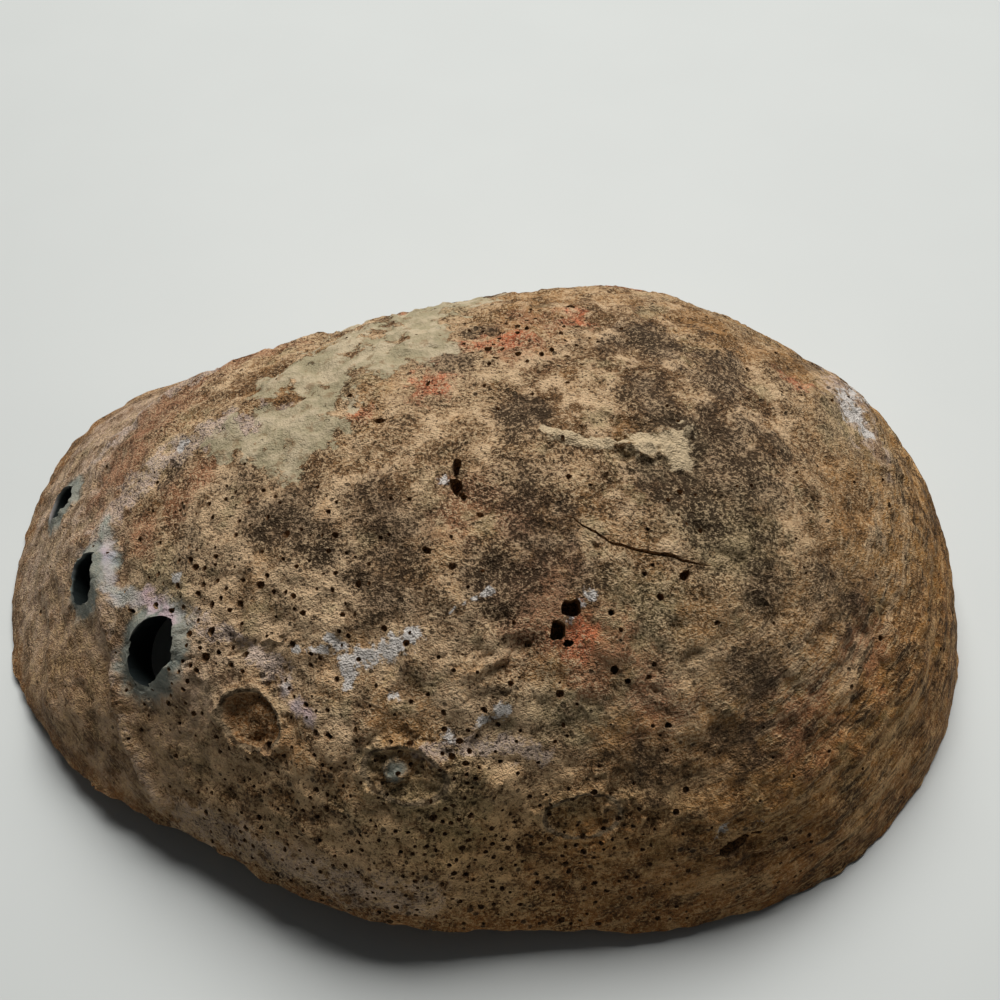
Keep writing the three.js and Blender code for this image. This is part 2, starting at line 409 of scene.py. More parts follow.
def shell_mesh(shape):
    """One closed mesh of the whole shell, with the nacre's faces in the second slot."""
    cells = shape.cells // 2 * 2
    smooth, quads, outer_edge = smooth_outside(cells)
    marks = on_dome([hole[:2] for hole in OPEN_HOLES + SEALED_HOLES])
    marks = np.concatenate([marks, run(CREST, 4)])
    smooth, outer_faces = refine(smooth, quads, marks)
    angle, share = share_of(smooth)
    raised = relief(angle, share, smooth) * shape.relief
    outer = smooth + dome_normal(angle, share) * raised[:, None]
    edge_angle = angle[outer_edge]
    ragged = 0.9 * field(smooth[outer_edge], 9, 3, 2.2) + 0.4 * field(smooth[outer_edge], 3.4, 2, 8.8)
    outer[outer_edge, :2] *= 1 + ragged[:, None] / RIM_RADIUS.mean()
    inner, inner_quads, inner_edge = inside(cells // 2, shape.wall, shape.crown_wall)

    inner_ring = inner[inner_edge]
    doubled = np.empty((2 * len(inner_ring), 3))
    doubled[0::2] = inner_ring
    doubled[1::2] = (inner_ring + np.roll(inner_ring, -1, axis=0)) / 2
    rows = rim_strips(outer[outer_edge], doubled, edge_angle)

    points = [outer, *rows, inner]
    starts = np.cumsum([0] + [len(block) for block in points])
    rings = [outer_edge] + [np.arange(len(row)) + start for row, start in zip(rows, starts[1:])]
    faces = list(outer_faces)
    for first, second in zip(rings, rings[1:]):
        faces += grid_faces(first, second)
    rim_end = len(faces)
    inner_start = starts[-2]
    faces += halving_faces(rings[-1], inner_edge + inner_start)
    faces += (inner_quads + inner_start)[:, ::-1].tolist()
    mesh = new_mesh("abalone_shell", np.concatenate(points), faces)
    slots = np.full(len(faces), OUTSIDE, np.int32)
    slots[rim_end:] = NACRE
    mesh.polygons.foreach_set("material_index", slots)
    mesh.update()
    return mesh, len(outer)


# ---------------------------------------------------------------------------------------------
# Holes, borings and cracks, cut out of the solid shell

# Where boring sponges and worms have riddled the shell: place, reach, borings to a square
# millimetre, and usual radius.
RIDDLED = [
    (205, 0.52, 15, 0.150, 0.55), (222, 0.52, 16, 0.150, 0.55), (213, 0.36, 12, 0.180, 0.48),
    (240, 0.15, 20, 0.260, 0.42), (258, 0.12, 22, 0.260, 0.42), (232, 0.32, 14, 0.200, 0.45),
    (262, 0.32, 18, 0.120, 0.48), (280, 0.14, 18, 0.160, 0.42), (250, 0.55, 16, 0.080, 0.50),
    (98, 0.85, 12, 0.200, 0.60), (75, 0.78, 10, 0.050, 0.50), (150, 0.30, 30, 0.020, 0.45),
    (60, 0.40, 40, 0.020, 0.45), (0, 0.60, 20, 0.015, 0.40), (300, 0.10, 22, 0.050, 0.40),
]
STRAY_BORINGS = 0.010
# Large borings: place, radii, turn in degrees, depth.
BORINGS = [
    (227, 0.845, 0.9, 2.1, 40, 3), (233, 0.82, 1.4, 2.0, 40, 4), (238, 0.808, 1.0, 0.8, 0, 3),
    (277, 0.64, 1.9, 1.6, 0, 5), (273.5, 0.605, 1.4, 1.8, 0, 5), (275.5, 0.585, 1.0, 0.8, 0, 3),
    (306, 0.66, 1.5, 0.9, 0, 2.5), (298, 0.64, 0.75, 0.75, 0, 2), (300, 0.69, 0.5, 0.5, 0, 1.5),
    (297, 0.68, 0.5, 0.5, 0, 1.5), (286, 0.63, 0.7, 0.7, 0, 2), (284, 0.54, 0.85, 0.85, 0, 3),
    (286, 0.52, 0.7, 0.6, 0, 2), (285, 0.85, 0.6, 0.7, 0, 2), (238, 0.71, 1.2, 0.7, 0, 1.5),
    (246, 0.70, 0.8, 0.8, 0, 1.2), (230, 0.30, 1.3, 1.0, 0, 3.5), (238, 0.38, 0.7, 0.7, 0, 2),
    (196, 0.57, 0.8, 0.8, 0, 2.5), (203, 0.41, 1.3, 0.6, 20, 2.5), (201, 0.37, 1.4, 0.5, 40, 2),
    (213, 0.44, 0.7, 1.0, 20, 2), (187, 0.83, 0.8, 1.1, 0, 2.5), (166, 0.885, 0.9, 0.5, 0, 2),
    (78, 0.74, 1.7, 0.7, 0, 2.5), (297, 0.19, 3.0, 1.9, 20, 4.5), (300, 0.205, 1.3, 0.8, 0, 3),
    (291, 0.44, 0.7, 0.7, 0, 2.5),
]


def new_mesh(name, points, faces):
    mesh = bpy.data.meshes.new(name)
    mesh.from_pydata(points.tolist(), [], [[int(corner) for corner in face] for face in faces])
    return mesh


def plug(middle, axes, radii, top, depth, taper, waviness):
    """Points of a tapered plug: one ring above the surface and one at the given depth."""
    along, across, out = axes
    turn = np.linspace(0, FULL_TURN, len(waviness), endpoint=False)[:, None]
    ring = (radii[0] * np.cos(turn) * along + radii[1] * np.sin(turn) * across) * waviness[:, None]
    return np.concatenate([middle + ring + out * top, middle + ring * taper - out * depth])


def plug_faces(sides, start):
    upper = [start + i for i in range(sides)]
    lower = [start + sides + i for i in range(sides)]
    walls = [(lower[i], lower[(i + 1) % sides], upper[(i + 1) % sides], upper[i]) for i in range(sides)]
    return walls + [tuple(upper), tuple(lower[::-1])]


def plugs_mesh(name, plugs):
    starts = np.cumsum([0] + [len(points) for points in plugs]).tolist()
    faces = [face for points, start in zip(plugs, starts) for face in plug_faces(len(points) // 2, start)]
    return new_mesh(name, np.concatenate(plugs), faces)


def square_to(out):
    """Two axes square to a direction."""
    along = np.cross(out, [0.0, 0.6, 0.8])
    along /= np.linalg.norm(along)
    return along, np.cross(out, along), out


def riddling(points, normals, areas, seed):
    """Small borings scattered over the outside, thick where it is riddled, none of them touching."""
    rng = np.random.default_rng(seed)
    thick = np.full(len(points), STRAY_BORINGS)
    radius = np.full(len(points), 0.4)
    for usual in RIDDLED:
        here = bell(distance_from(usual, points), usual[2])
        radius += (usual[4] - radius) * here
        thick = np.maximum(thick, usual[3] * here)
    clear = np.ones(len(points), bool)
    for hole in OPEN_HOLES + SEALED_HOLES[:1]:
        clear &= hole_distance(points, hole) > 1.35
    for boring in BORINGS:
        clear &= distance_from(boring, points) > max(boring[2:4]) + 1.2
    clear &= nearest(points, run(CRACK)) > 1.6
    clear &= points[:, 2] > 3.0
    chosen = np.flatnonzero(clear & (rng.random(len(points)) < thick * areas))
    size = radius[chosen] * rng.lognormal(0, 0.22, len(chosen))
    plugs, kept = [], []
    for order, index in enumerate(chosen):
        if any(math.dist(points[index], points[other]) < s + size[order] + 0.35
               for other, s in kept if abs(points[index][0] - points[other][0]) < 3):
            continue
        kept.append((index, size[order]))
    for index, reach in kept:
        sides = 8 if reach > 0.5 else 6
        waviness = 1 + 0.12 * rng.standard_normal(sides)
        radii = reach * rng.uniform(0.85, 1.2, 2)
        depth = 0.35 + 0.9 * reach
        plugs.append(plug(points[index], square_to(normals[index]), radii, 0.6, depth, 0.65, waviness))
    return plugs


def large_borings(seed):
    rng = np.random.default_rng(seed)
    plugs = []
    for boring, middle in zip(BORINGS, on_dome(BORINGS)):
        along, across, out = row_frame(boring)
        turn = math.radians(boring[4])
        axes = (along * math.cos(turn) + across * math.sin(turn),
                across * math.cos(turn) - along * math.sin(turn), out)
        waviness = 1 + 0.14 * rng.standard_normal(12)
        plugs.append(plug(middle, axes, boring[2:4], 3, boring[5], 0.7, waviness))
    return plugs


def open_holes(seed):
    rng = np.random.default_rng(seed)
    return [plug(on_dome([hole])[0], row_frame(hole), hole[2:4], 6, 12, 1.75,
                 1 + 0.008 * rng.standard_normal(40)) for hole in OPEN_HOLES]


def crack_wedge():
    """Thin sliver, deepest in the middle of its run, that opens a crack."""
    path = run(CRACK, 0.8)
    count = len(path)
    _, share = share_of(path)
    out = dome_normal(np.arctan2(path[:, 1], path[:, 0]), share)
    along = np.gradient(path, axis=0)
    side = np.cross(out, along)
    side /= np.linalg.norm(side, axis=-1, keepdims=True)
    belly = np.sin(np.linspace(0.08, 0.92, count) * math.pi)[:, None]
    drift = side * 0.35 * field(path, 2.5, 2, 6.1)[:, None]
    width = 0.1 + 0.42 * belly
    lips = [path + drift + side * width * sign + out * 1.5 for sign in (1, -1)]
    points = np.concatenate([*lips, path + drift - out * (0.3 + 1.3 * belly)])
    left, right, deep = (np.arange(count) + count * i for i in range(3))
    faces = [(deep[0], right[0], left[0]), (deep[-1], left[-1], right[-1])]
    for a, b in ((left, right), (right, deep), (deep, left)):
        faces += list(zip(a[:-1], b[:-1], b[1:], a[1:]))
    return new_mesh("crack", points, faces)


def split_apart(plugs):
    """Sorts plugs into lots in which none touches another."""
    lots = []
    for plug_points in plugs:
        middle, reach = plug_points.mean(0), np.ptp(plug_points, axis=0).max() / 2
        for lot in lots:
            if all(np.linalg.norm(middle - other.mean(0)) > reach + np.ptp(other, axis=0).max() / 2
                   for other in lot):
                lot.append(plug_points)
                break
        else:
            lots.append([plug_points])
    return lots


def vertex_areas(mesh):
    """Share of the mesh's area that belongs to each point."""
    areas = np.zeros(len(mesh.vertices))
    for face in mesh.polygons:
        for index in face.vertices:
            areas[index] += face.area / len(face.vertices)
    return areas


def carve(shell, cutter_mesh, material):
    """Takes the cutter out of the shell and gives the cut walls a material."""
    tidy = bmesh.new()
    tidy.from_mesh(cutter_mesh)
    bmesh.ops.recalc_face_normals(tidy, faces=tidy.faces)
    tidy.to_mesh(cutter_mesh)
    tidy.free()
    cutter_mesh.materials.append(material)
    cutter = bpy.data.objects.new(cutter_mesh.name, cutter_mesh)
    bpy.context.scene.collection.objects.link(cutter)
    cut = shell.modifiers.new("cut", "BOOLEAN")
    cut.operation = "DIFFERENCE"
    cut.solver = "MANIFOLD"
    cut.material_mode = "TRANSFER"
    cut.object = cutter
    bpy.context.view_layer.update()
    done = bpy.data.meshes.new_from_object(shell.evaluated_get(bpy.context.evaluated_depsgraph_get()))
    shell.modifiers.clear()
    old, shell.data = shell.data, done
    bpy.data.meshes.remove(old)
    bpy.data.objects.remove(cutter)
    bpy.data.meshes.remove(cutter_mesh)


# ---------------------------------------------------------------------------------------------
# Where each colour lies, kept as one value from 0 to 1 at each point of the mesh

# Blots: place and radius. A blot's value is 1 in its middle, 0.5 at its radius and 0 at twice that.
BLOTS = {
    "soot": [
        (192, 0.63, 3.5), (204, 0.65, 5), (225, 0.71, 6.5), (215, 0.66, 3), (236, 0.62, 3.5),
        (270, 0.75, 8), (258, 0.70, 7), (262, 0.82, 6), (240, 0.95, 3.5), (112, 0.80, 3),
        (146, 0.87, 3), (38, 0.78, 7), (8, 0.86, 5), (349, 0.78, 6), (16, 0.73, 5), (323, 0.80, 8),
        (342, 0.73, 7.5), (330, 0.69, 6), (330, 0.48, 4.5), (285, 0.34, 4.5), (301, 0.36, 4),
        (310, 0.48, 4), (198, 0.50, 2.6), (182, 0.52, 2.4), (28, 0.73, 5), (318, 0.60, 4),
        (60, 0.30, 9), (95, 0.45, 7), (120, 0.30, 8), (5, 0.22, 6), (345, 0.16, 7),
    ],
    "sandy": [
        (205, 0.55, 13), (222, 0.55, 13), (240, 0.55, 12), (262, 0.50, 14), (284, 0.50, 9), (232, 0.75, 6),
        (150, 0.88, 8), (300, 0.55, 8), (100, 0.86, 8), (350, 0.28, 8), (342, 0.22, 7), (356, 0.42, 6),
    ],
    "crust": [
        (182, 0.70, 6.5), (174, 0.76, 5.5), (180, 0.62, 4.5), (191, 0.71, 4), (185, 0.76, 4),
        (152, 0.79, 6), (141, 0.81, 6), (160, 0.72, 7), (150, 0.70, 6.5), (132, 0.72, 7),
        (124, 0.64, 7), (140, 0.62, 7), (165, 0.66, 4), (110, 0.55, 9), (80, 0.30, 10), (128, 0.40, 8),
    ],
    "coral": [
        (166, 0.89, 3.4), (124, 0.85, 2.4), (112, 0.86, 2.4), (100, 0.86, 2.4), (74, 0.78, 2.6),
        (182, 0.81, 1.8), (68, 0.80, 1.6), (277, 0.60, 3.2),
        (120, 0.50, 4), (70, 0.45, 5), (20, 0.58, 3),
    ],
    "ochre": [
        (208, 0.29, 3), (277, 0.58, 6), (286, 0.42, 6), (277, 0.24, 7), (322, 0.47, 7), (324, 0.36, 6),
        (298, 0.22, 6), (250, 0.42, 6), (100, 0.80, 9), (40, 0.66, 8), (30, 0.56, 8), (304, 0.60, 5),
        (352, 0.50, 8), (336, 0.33, 8), (90, 0.60, 10), (226, 0.335, 5.5), (232, 0.33, 4),
        (305, 0.07, 6), (322, 0.10, 6), (340, 0.08, 6), (290, 0.10, 4),
    ],
    "olive": [
        (322, 0.68, 9), (335, 0.80, 6), (294, 0.60, 8), (278, 0.50, 7), (249, 0.36, 5), (274, 0.29, 4),
        (200, 0.42, 7), (10, 0.50, 7), (234, 0.80, 5), (255, 0.30, 8),
    ],
    "chalk": [
        (226, 0.48, 0.8), (230, 0.525, 1.0), (236, 0.49, 1.2),
        (263, 0.48, 1.3), (245, 0.48, 0.9), (255, 0.43, 1.1), (260, 0.46, 1.0), (282, 0.66, 0.9),
        (279, 0.645, 0.8), (276, 0.625, 0.8), (22, 0.40, 2.6), (17, 0.48, 2.2),
        (13, 0.475, 2.8), (10, 0.46, 2.0), (19, 0.43, 2.6),
        (228, 0.815, 0.9), (257, 0.665, 0.9), (295, 0.245, 1.2), (202, 0.47, 1.0), (177, 0.53, 1.3),
    ],
    "pearl": [
        (228, 0.41, 1.2), (231, 0.40, 1.5), (234, 0.39, 1.2),
        (206, 0.415, 2.4), (203, 0.41, 2.0), (200, 0.40, 1.8),
    ],
}
# Short dark scores, and scratches and veins of white: path and half width.
SCORES = [
    ([(294, 0.48), (298, 0.495)], 0.35), ([(290, 0.57), (296, 0.575), (300, 0.57)], 0.25),
    ([(318, 0.60), (324, 0.59)], 0.5),
]
SCRATCHES = [
    ([(294, 0.22), (299, 0.238), (304, 0.21)], 0.5),
    ([(235, 0.505), (240, 0.54), (244, 0.585)], 1.7),
    ([(248, 0.62), (257, 0.67)], 0.28),
    ([(226, 0.48), (232, 0.51)], 0.5),
    ([(230, 0.525), (235, 0.51), (237, 0.47)], 0.9),
]
ROSE = [
    (268, 0.63, 6), (280, 0.56, 6), (290, 0.50, 5), (312, 0.36, 7), (328, 0.40, 6), (95, 0.88, 5),
    (90, 0.80, 5), (190, 0.45, 4.5), (188, 0.51, 4.5), (186, 0.57, 3.5), (262, 0.78, 4),
    (270, 0.70, 4), (240, 0.80, 5),
]
# Pale lilac bands: path and half width. Along the folds they are partly pale worn shell and partly painted
# highlight on the lit crests; at the spire and the rim they are worn shell.
SHEEN_AND_WEAR = [
    ([(186, 0.32), (182, 0.40), (179, 0.49), (177, 0.59), (176, 0.68)], 2.8),
    ([(168, 0.22), (163, 0.28), (160, 0.36), (156, 0.44)], 1.8),
    ([(196, 0.33), (203, 0.29), (208, 0.22), (214, 0.13), (219, 0.05)], 1.1),
    ([(206, 0.42), (216, 0.45), (226, 0.43)], 1.6),
    ([(252, 0.40), (262, 0.42), (270, 0.40)], 1.4),
    ([(222, 0.06), (232, 0.08), (244, 0.09), (256, 0.10)], 3.2),
    ([(24, 0.42), (18, 0.46), (12, 0.47), (7, 0.44)], 4.0),
]
PEARL_LINE = [(184, 0.36), (190, 0.365), (196, 0.35), (200, 0.39)]


def blot_value(points, blots):
    value = np.zeros(len(points))
    for blot in blots:
        value = np.maximum(value, 1 - 0.5 * distance_from(blot, points) / blot[2])
    return value


def line_value(points, path, half_width):
    return np.clip(1 - 0.5 * nearest(points, run(path, 0.4)) / half_width, 0, 1)


def colour_values(points):
    """All the values by name, for points of the finished shell."""
    angle, share = share_of(points)
    turn = np.degrees(np.mod(angle, FULL_TURN))
    values = {name: blot_value(points, blots) for name, blots in BLOTS.items()}
    for path, half_width in SCRATCHES:
        values["chalk"] = np.maximum(values["chalk"], line_value(points, path, half_width))
    values["pearl"] = np.maximum(values["pearl"], line_value(points, PEARL_LINE, 1.5))
    # Pale bands of worn shell, with painted highlight along the fold crests.
    values["sheen_and_wear"] = np.max([line_value(points, path, width) for path, width in SHEEN_AND_WEAR], axis=0)
    values["score"] = np.max([line_value(points, path, width) for path, width in SCORES], axis=0)
    grooves = [0.8 * bell(hole_distance(points, hole) - 1.0, 0.1) for hole in SEALED_HOLES]
    values["score"] = np.maximum(values["score"], np.max(grooves, axis=0))
    values["seal"] = ramp(hole_distance(points, SEALED_HOLES[0]), 1.02, 0.88)
    values["crest"] = np.max(flake_shape(points), axis=0)
    collars = [1 - 0.5 * (hole_distance(points, hole) - 1.0) / 0.8 for hole in OPEN_HOLES]
    stud = 1 - 0.5 * distance_from(STUD, points) / 1.8
    values["collar"] = np.clip(np.maximum(np.max(collars, axis=0), stud), 0, 1)
    rings = [bell(hole_distance(points, hole) - 1.0, 0.14) for hole in SEALED_HOLES]
    values["ring"] = np.max(rings, axis=0)
    thick = [usual[3] * bell(distance_from(usual, points), usual[2]) for usual in RIDDLED]
    values["riddled"] = 0.06 + np.clip(4.0 * np.max(thick, axis=0), 0, 0.8)
    under = -np.einsum("ij,ij->i", points - dome(angle, share), dome_normal(angle, share))
    # Depth below the smooth dome; the hole walls use it to lay on their painted shade.
    values["depth"] = ramp(under, -1.6, 1.2)
    front = ramp(turn, 128, 160) * ramp(turn, 236, 214)
    near = ramp(turn, 205, 225) * ramp(turn, 280, 250)
    values["lilac"] = np.maximum(0.85 * front * ramp(share, 0.50, 0.28),
                                 0.40 * near * ramp(share, 0.24, 0.12))
    right = ramp(np.minimum(turn, 360 - turn), 100, 45)
    values["amber"] = right * ramp(share, 0.70, 0.40)
    values["low"] = ramp(share, 0.46, 0.20)
    values["warm"] = values["low"] * (ramp(turn, 235, 262) + ramp(turn, 120, 90))
    values["dull"] = ramp(share, 0.42, 0.18) * ramp(turn, 180, 198) * ramp(turn, 255, 235)
    values["rust"] = 0.75 * ramp(share, 0.09, 0.0) + 0.56 * ramp(turn, 225, 285) * ramp(share, 0.40, 0.10)
    fold = ramp(turn, 135, 150) * ramp(turn, 190, 172)
    band = fold * bell(share - 0.40 - 0.0016 * (165 - turn), 0.10)
    values["rose"] = np.maximum(band, blot_value(points, ROSE))
    return values


def store(mesh, name, kind, values):
    attribute = mesh.attributes.new(name, kind, "POINT")
    field_name = "vector" if kind == "FLOAT_VECTOR" else "value"
    attribute.data.foreach_set(field_name, np.asarray(values, np.float32).ravel())


# ---------------------------------------------------------------------------------------------
# Materials

class Nodes:
    """Fills a node tree. An input may be given as a value or as another node's output."""

    def __init__(self, tree):
        self.tree = tree

    def add(self, kind, inputs=None, **settings):
        node = self.tree.nodes.new(kind)
        for name, value in settings.items():
            setattr(node, name, value)
        for name, value in (inputs or {}).items():
            if isinstance(value, bpy.types.NodeSocket):
                self.tree.links.new(value, node.inputs[name])
            else:
                node.inputs[name].default_value = value
        return node

    def value(self, name):
        """A value kept on the mesh."""
        return self.add("ShaderNodeAttribute", attribute_name=name).outputs["Fac"]

    def math(self, operation, *values):
        node = self.add("ShaderNodeMath", dict(enumerate(values)), operation=operation)
        return node.outputs[0]

    def times(self, a, b):
        return self.math("MULTIPLY", a, b)

    def plus(self, a, b):
        return self.math("ADD", a, b)

    def minus(self, a, b):
        return self.math("SUBTRACT", a, b)

    def place(self):
        """Where a point lies on its own object."""
        return self.add("ShaderNodeTexCoord").outputs["Object"]

    def bump(self, height, strength, millimetres):
        node = self.add("ShaderNodeBump", {"Height": height, "Strength": strength,
                                           "Distance": millimetres * METRES})
        return node.outputs["Normal"]

    def noise(self, place, size, detail=3.0, roughness=0.55):
        """Noise from 0 to 1 with lumps of a size in millimetres."""
        node = self.add("ShaderNodeTexNoise", {"Vector": place, "Scale": 1 / (size * METRES),
                                               "Detail": detail, "Roughness": roughness})
        return node.outputs["Fac"]

    def spread(self, value, low, high, to_low=0.0, to_high=1.0):
        node = self.add("ShaderNodeMapRange", {"Value": value, "From Min": low, "From Max": high,
                                               "To Min": to_low, "To Max": to_high},
                        interpolation_type="SMOOTHSTEP")
        return node.outputs["Result"]

    def mix(self, share, under, over, blend="MIX"):
        node = self.add("ShaderNodeMix", data_type="RGBA", blend_type=blend)
        for index, value in ((0, share), (6, under), (7, over)):
            if isinstance(value, bpy.types.NodeSocket):
                self.tree.links.new(value, node.inputs[index])
            else:
                node.inputs[index].default_value = value
        return node.outputs[2]


def new_group(name, inputs, outputs):
    group = bpy.data.node_groups.new(name, "ShaderNodeTree")
    for socket, kind, default in inputs:
        made = group.interface.new_socket(socket, in_out="INPUT", socket_type=kind)
        if default is not None:
            made.default_value = default
    for socket, kind in outputs:
        group.interface.new_socket(socket, in_out="OUTPUT", socket_type=kind)
    nodes = Nodes(group)
    start = group.nodes.new("NodeGroupInput").outputs
    end = group.nodes.new("NodeGroupOutput").inputs
    return group, nodes, start, end


def ragged_group():
    """A blot's value turned into a mask with a ragged edge."""
    group, nodes, start, end = new_group(
        "Ragged Edge",
        [("Value", "NodeSocketFloat", 0.0), ("Place", "NodeSocketVector", None),
         ("Size", "NodeSocketFloat", 3.0), ("Ragged", "NodeSocketFloat", 0.6),
         ("Softness", "NodeSocketFloat", 0.1)],
        [("Mask", "NodeSocketFloat")])
    scale = nodes.math("DIVIDE", 1 / METRES, start["Size"])
    lumps = nodes.add("ShaderNodeTexNoise", {"Vector": start["Place"], "Scale": scale, "Detail": 5.0,
                                             "Roughness": 0.62}).outputs["Fac"]
    shifted = nodes.times(nodes.minus(lumps, 0.5), start["Ragged"])
    total = nodes.plus(start["Value"], nodes.times(shifted, 2.0))
    low = nodes.minus(0.5, start["Softness"])
    high = nodes.plus(0.5, start["Softness"])
    mask = nodes.spread(total, low, high)
    present = nodes.spread(start["Value"], 0.0, 0.12)
    group.links.new(nodes.times(mask, present), end["Mask"])
    return group


def grain_group():
    """Sandy grain of weathered shell: dark specks, pale specks and a height.

    Dirt thickens the dark specks and Bloom the pale ones, both from 0 to 1.
    """
    group, nodes, start, end = new_group(
        "Weathered Grain",
        [("Place", "NodeSocketVector", None), ("Size", "NodeSocketFloat", 1.0),
         ("Dirt", "NodeSocketFloat", 0.3), ("Bloom", "NodeSocketFloat", 0.3)],
        [("Dark", "NodeSocketFloat"), ("Pale", "NodeSocketFloat"), ("Height", "NodeSocketFloat")])
    place = nodes.add("ShaderNodeVectorMath", {0: start["Place"]}, operation="SCALE")
    group.links.new(nodes.math("DIVIDE", 1.0, start["Size"]), place.inputs["Scale"])
    place = place.outputs[0]
    fine = nodes.noise(place, 0.95, 2.0, 0.8)
    coarse = nodes.noise(place, 3.6, 3.0, 0.65)
    blend = nodes.plus(nodes.times(fine, 0.84), nodes.times(coarse, 0.16))
    dark_level = nodes.plus(0.42, nodes.times(start["Dirt"], 0.10))
    pale_level = nodes.minus(0.585, nodes.times(start["Bloom"], 0.075))
    group.links.new(nodes.spread(blend, nodes.plus(dark_level, 0.04),
                                 nodes.minus(dark_level, 0.05)), end["Dark"])
    group.links.new(nodes.spread(blend, nodes.minus(pale_level, 0.03),
                                 nodes.plus(pale_level, 0.04)), end["Pale"])
    group.links.new(blend, end["Height"])
    return group


def dimple_group():
    """Round borings too fine to cut, their insides painted dark as shade and dirt. Amount from 0 to 1 is
    the share of them that is open.
    """
    group, nodes, start, end = new_group(
        "Fine Borings",
        [("Place", "NodeSocketVector", None), ("Size", "NodeSocketFloat", 2.2),
         ("Amount", "NodeSocketFloat", 0.3)],
        [("Mask", "NodeSocketFloat"), ("Lip", "NodeSocketFloat")])
    scale = nodes.math("DIVIDE", 1 / METRES, start["Size"])
    cells = nodes.add("ShaderNodeTexVoronoi", {"Vector": start["Place"], "Scale": scale, "Randomness": 1.0})
    tint = nodes.add("ShaderNodeSeparateColor", {"Color": cells.outputs["Color"]}).outputs
    present = nodes.math("LESS_THAN", tint["Red"], start["Amount"])
    reach = nodes.spread(tint["Green"], 0.0, 1.0, 0.12, 0.24)
    inner = nodes.minus(reach, 0.07)
    outer = nodes.plus(reach, 0.10)
    pit = nodes.spread(cells.outputs["Distance"], reach, inner)
    lip = nodes.minus(nodes.spread(cells.outputs["Distance"], outer, reach), pit)
    group.links.new(nodes.times(present, pit), end["Mask"])
    group.links.new(nodes.times(present, lip), end["Lip"])
    return group


def nacre_group():
    """Colours of mother of pearl in drifting bands: silver, pink, green and blue."""
    group, nodes, start, end = new_group(
        "Nacre Colours",
        [("Place", "NodeSocketVector", None), ("Silver", "NodeSocketColor", (0.7, 0.7, 0.68, 1)),
         ("Pink", "NodeSocketColor", (0.7, 0.5, 0.56, 1)),
         ("Green", "NodeSocketColor", (0.45, 0.62, 0.53, 1)),
         ("Blue", "NodeSocketColor", (0.4, 0.5, 0.66, 1))],
        [("Color", "NodeSocketColor")])
    warp = nodes.add("ShaderNodeTexNoise", {"Vector": start["Place"], "Scale": 40.0, "Detail": 2.0})
    bent = nodes.add("ShaderNodeVectorMath", {0: warp.outputs["Color"], 1: (0.022, 0.022, 0.022),
                                              2: start["Place"]}, operation="MULTIPLY_ADD").outputs[0]
    bands = nodes.add("ShaderNodeTexWave", {
        "Vector": bent, "Scale": 26.0, "Distortion": 3.0, "Detail": 3.0, "Detail Scale": 1.6},
        wave_type="BANDS", bands_direction="DIAGONAL").outputs["Fac"]
    fine = nodes.add("ShaderNodeTexWave", {
        "Vector": bent, "Scale": 120.0, "Distortion": 4.0, "Detail": 2.0},
        wave_type="BANDS", bands_direction="DIAGONAL").outputs["Fac"]
    colour = nodes.mix(nodes.spread(bands, 0.25, 1.0, 0.0, 0.75), start["Silver"], start["Pink"])
    green = nodes.spread(nodes.noise(bent, 15, 3.0, 0.5), 0.42, 0.68, 0.0, 0.8)
    blue = nodes.spread(nodes.noise(bent, 8, 3.0, 0.5), 0.5, 0.75, 0.0, 0.7)
    colour = nodes.mix(green, colour, start["Green"])
    colour = nodes.mix(blue, colour, start["Blue"])
    colour = nodes.mix(nodes.spread(fine, 0.2, 0.9, 0.0, 0.22), colour, start["Silver"])
    group.links.new(colour, end["Color"])
    return group


def place_group(nodes, group, inputs):
    return nodes.add("ShaderNodeGroup", inputs, node_tree=group)


def new_material(name, colour):
    material = bpy.data.materials.new(name)
    material.diffuse_color = (*colour, 1)
    material.use_nodes = True
    material.node_tree.nodes.clear()
    return material, Nodes(material.node_tree)


def finish_material(material, nodes, sockets):
    """Gives the material its one shader, with values for the shader's own sockets."""
    principled = nodes.add("ShaderNodeBsdfPrincipled", sockets)
    output = nodes.add("ShaderNodeOutputMaterial")
    material.node_tree.links.new(principled.outputs["BSDF"], output.inputs["Surface"])
    return material


def opaque(colour):
    return (*colour, 1.0)


# Tints that the low flanks' colour is multiplied by: at the spire end, and at the front end.
WARM_STAIN = (1.22, 1.07, 0.82)
DULL_STAIN = (0.86, 0.79, 0.66)


def worn_nacre(nodes, colours, groups, place):
    return place_group(nodes, groups["nacre"], {
        "Place": place, "Silver": opaque(colours.pearl), "Pink": opaque(colours.pearl_pink),
        "Green": opaque(colours.pearl_green), "Blue": opaque(colours.pearl_blue)}).outputs["Color"]


